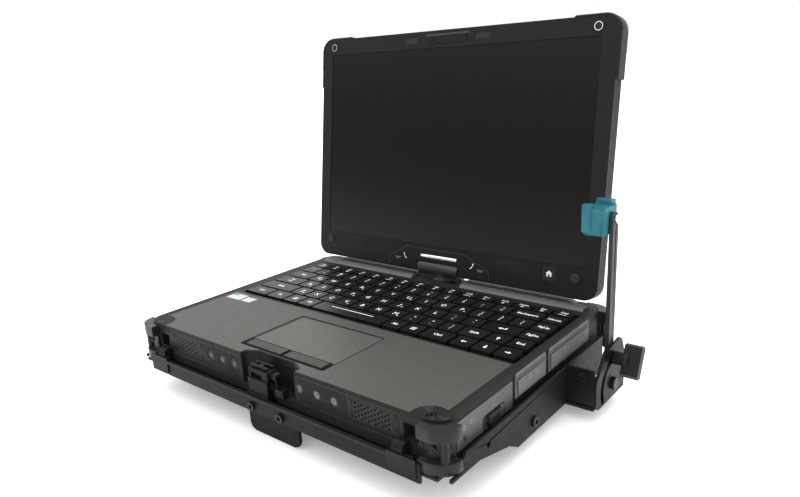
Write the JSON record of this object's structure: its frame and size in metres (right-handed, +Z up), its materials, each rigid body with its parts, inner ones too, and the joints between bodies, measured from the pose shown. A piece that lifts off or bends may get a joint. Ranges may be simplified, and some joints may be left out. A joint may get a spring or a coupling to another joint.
{
  "type": "rugged convertible laptop computer in docking cradle",
  "caption": "Rugged convertible laptop with swivelling touch display, locked in a vehicle docking cradle with a screen support arm.",
  "frame": {"origin": "centre of the bolt pattern on the underside of the docking cradle", "axes": "+X to the user's right, +Y to the rear, +Z up; the keyboard's front edge faces -Y"},
  "size_m": [0.3439, 0.2461, 0.2668],
  "materials": {
    "case_dark": "satin textured plastic",
    "palm_metal": "warm grey painted magnesium",
    "key_black": "black membrane key plastic",
    "pad_grey": "smooth warm grey",
    "grille_dark": "perforated painted steel",
    "inner_black": "plain black",
    "button_grey": "moulded grey plastic",
    "light_lens": "translucent lens",
    "bumper_rubber": "dark grey bumper rubber",
    "black_screw": "black zinc steel",
    "side_plastic": "moulded dark grey plastic",
    "door_rubber": "port cover rubber",
    "bare_steel": "bright steel",
    "board_green": "circuit board",
    "foot_rubber": "black foot rubber",
    "ridge_grey": "grey moulded ribs",
    "hinge_metal": "black painted cast metal",
    "lid_black": "black textured lid",
    "bezel_black": "black moulded frame",
    "lcd_black": "dark panel",
    "screen_glass": "dark glossy screen glass, backed by the panel",
    "guard_rubber": "black guard rubber",
    "pad_ring": "screw rings and dark pads",
    "cradle_paint": "black powder coat",
    "catch_black": "black cast catch",
    "paddle_black": "black moulded paddle",
    "bracket_paint": "dark grey powder coat",
    "arm_steel": "grey coated steel bar",
    "knob_plastic": "moulded wing knob",
    "clip_teal": "teal moulded plastic"
  },
  "bodies": {
    "base": {"bottom_case": "case_dark", "top_case": "case_dark", "palm_rest": "palm_metal", "keyboard_tray": "key_black", "touchpad": "pad_grey", "front_panel_left": "case_dark", "front_panel_right": "case_dark", "speaker_grilles": "grille_dark", "speaker_drivers": "inner_black", "status_lights": "light_lens", "corner_bumpers_front": "bumper_rubber", "corner_bumpers_rear": "bumper_rubber", "bumper_screws": "black_screw", "battery_left": "side_plastic", "battery_right": "side_plastic", "io_ports": "bare_steel", "mainboard": "board_green", "heat_spreader": "bare_steel", "drive_module": "inner_black", "rubber_feet": "foot_rubber", "hinge_ridges": "ridge_grey", "dock_tray": "cradle_paint", "dock_flanges": "cradle_paint", "dock_lip": "cradle_paint", "dock_housing": "inner_black", "dock_catch": "catch_black", "dock_screws": "black_screw", "arm_bracket": "bracket_paint", "dock_connector": "board_green"},
    "swivel": {"swivel_post": "hinge_metal", "hinge_pin": "bare_steel"},
    "display": {"display_back": "lid_black", "display_bezel": "bezel_black", "lcd_panel": "lcd_black", "touch_glass": "screen_glass", "display_guards": "guard_rubber", "display_pads": "pad_ring", "hinge_plate": "bezel_black", "camera_latch": "bezel_black"},
    "home": {"home_button": "button_grey"},
    "pad_left": {"touchpad_button_left": "pad_grey"},
    "pad_right": {"touchpad_button_right": "pad_grey"},
    "front_keys": {"front_buttons": "button_grey"},
    "function_row": {"keys_function": "key_black"},
    "number_row": {"keys_number": "key_black"},
    "upper_row": {"keys_upper": "key_black"},
    "home_row": {"keys_home": "key_black"},
    "lower_row": {"keys_lower": "key_black"},
    "bottom_row": {"keys_bottom": "key_black"},
    "space": {"key_space": "key_black"},
    "slide_left": {"battery_slide_left": "button_grey"},
    "slide_right": {"battery_slide_right": "button_grey"},
    "door_left": {"port_doors_left": "door_rubber"},
    "door_front": {"port_door_front": "door_rubber"},
    "door_rear": {"port_door_rear": "door_rubber"},
    "paddle": {"release_paddle": "paddle_black"},
    "arm": {"support_arm": "arm_steel", "arm_pin": "bare_steel"},
    "knob": {"clamp_knob": "knob_plastic"},
    "clip": {"edge_clip": "clip_teal"}
  },
  "joints": [
    {"name": "display_swivel", "type": "hinge", "parent": "base", "child": "swivel", "pos_m": [0, 0.09, 0.046], "axis": [0, 0, 1], "range_deg": [0, 180]},
    {"name": "display_tilt", "type": "hinge", "parent": "swivel", "child": "display", "pos_m": [0, 0.09, 0.056], "axis": [-1, 0, 0], "range_deg": [-98.3, 81.7]},
    {"name": "home_button_press", "type": "slide", "parent": "display", "child": "home", "axis": [0, 0.9895, -0.1444], "range_m": [0, 0.0005], "stiffness_N_per_m": 400},
    {"name": "touchpad_button_left_press", "type": "slide", "parent": "base", "child": "pad_left", "axis": [0, 0, -1], "range_m": [0, 0.0006], "stiffness_N_per_m": 500},
    {"name": "touchpad_button_right_press", "type": "slide", "parent": "base", "child": "pad_right", "axis": [0, 0, -1], "range_m": [0, 0.0006], "stiffness_N_per_m": 500},
    {"name": "front_button_press", "type": "slide", "parent": "base", "child": "front_keys", "axis": [0, 1, 0], "range_m": [0, 0.0006], "stiffness_N_per_m": 400},
    {"name": "function_row_press", "type": "slide", "parent": "base", "child": "function_row", "axis": [0, 0, -1], "range_m": [0, 0.0018], "stiffness_N_per_m": 400},
    {"name": "number_row_press", "type": "slide", "parent": "base", "child": "number_row", "axis": [0, 0, -1], "range_m": [0, 0.0018], "stiffness_N_per_m": 400},
    {"name": "upper_row_press", "type": "slide", "parent": "base", "child": "upper_row", "axis": [0, 0, -1], "range_m": [0, 0.0018], "stiffness_N_per_m": 400},
    {"name": "home_row_press", "type": "slide", "parent": "base", "child": "home_row", "axis": [0, 0, -1], "range_m": [0, 0.0018], "stiffness_N_per_m": 400},
    {"name": "lower_row_press", "type": "slide", "parent": "base", "child": "lower_row", "axis": [0, 0, -1], "range_m": [0, 0.0018], "stiffness_N_per_m": 400},
    {"name": "bottom_row_press", "type": "slide", "parent": "base", "child": "bottom_row", "axis": [0, 0, -1], "range_m": [0, 0.0018], "stiffness_N_per_m": 400},
    {"name": "space_press", "type": "slide", "parent": "base", "child": "space", "axis": [0, 0, -1], "range_m": [0, 0.0018], "stiffness_N_per_m": 400},
    {"name": "battery_slide_left_move", "type": "slide", "parent": "base", "child": "slide_left", "axis": [0, -1, 0], "range_m": [0, 0.004], "stiffness_N_per_m": 60},
    {"name": "battery_slide_right_move", "type": "slide", "parent": "base", "child": "slide_right", "axis": [0, -1, 0], "range_m": [0, 0.004], "stiffness_N_per_m": 60},
    {"name": "port_doors_left_turn", "type": "hinge", "parent": "base", "child": "door_left", "pos_m": [-0.1452, 0.018, 0.0412], "axis": [0, 1, 0], "range_deg": [0, 100]},
    {"name": "port_door_front_turn", "type": "hinge", "parent": "base", "child": "door_front", "pos_m": [0.1452, -0.016, 0.0412], "axis": [0, -1, 0], "range_deg": [0, 100]},
    {"name": "port_door_rear_turn", "type": "hinge", "parent": "base", "child": "door_rear", "pos_m": [0.1452, 0.04, 0.0412], "axis": [0, -1, 0], "range_deg": [0, 100]},
    {"name": "release_paddle_pull", "type": "hinge", "parent": "base", "child": "paddle", "pos_m": [0.004, -0.1115, 0.0114], "axis": [-1, 0, 0], "range_deg": [0, 30], "stiffness_Nm_per_rad": 0.08},
    {"name": "support_arm_swing", "type": "hinge", "parent": "base", "child": "arm", "pos_m": [0.169, 0.05, 0.01], "axis": [1, 0, 0], "range_deg": [-4, 40]},
    {"name": "clamp_knob_turn", "type": "hinge", "parent": "arm", "child": "knob", "pos_m": [0.18, 0.05193, 0.0284], "axis": [1, 0, 0], "continuous": true},
    {"name": "edge_clip_turn", "type": "hinge", "parent": "arm", "child": "clip", "pos_m": [0.16, 0.053, 0.12596], "axis": [1, 0, 0], "range_deg": [-40, 40]}
  ]
}
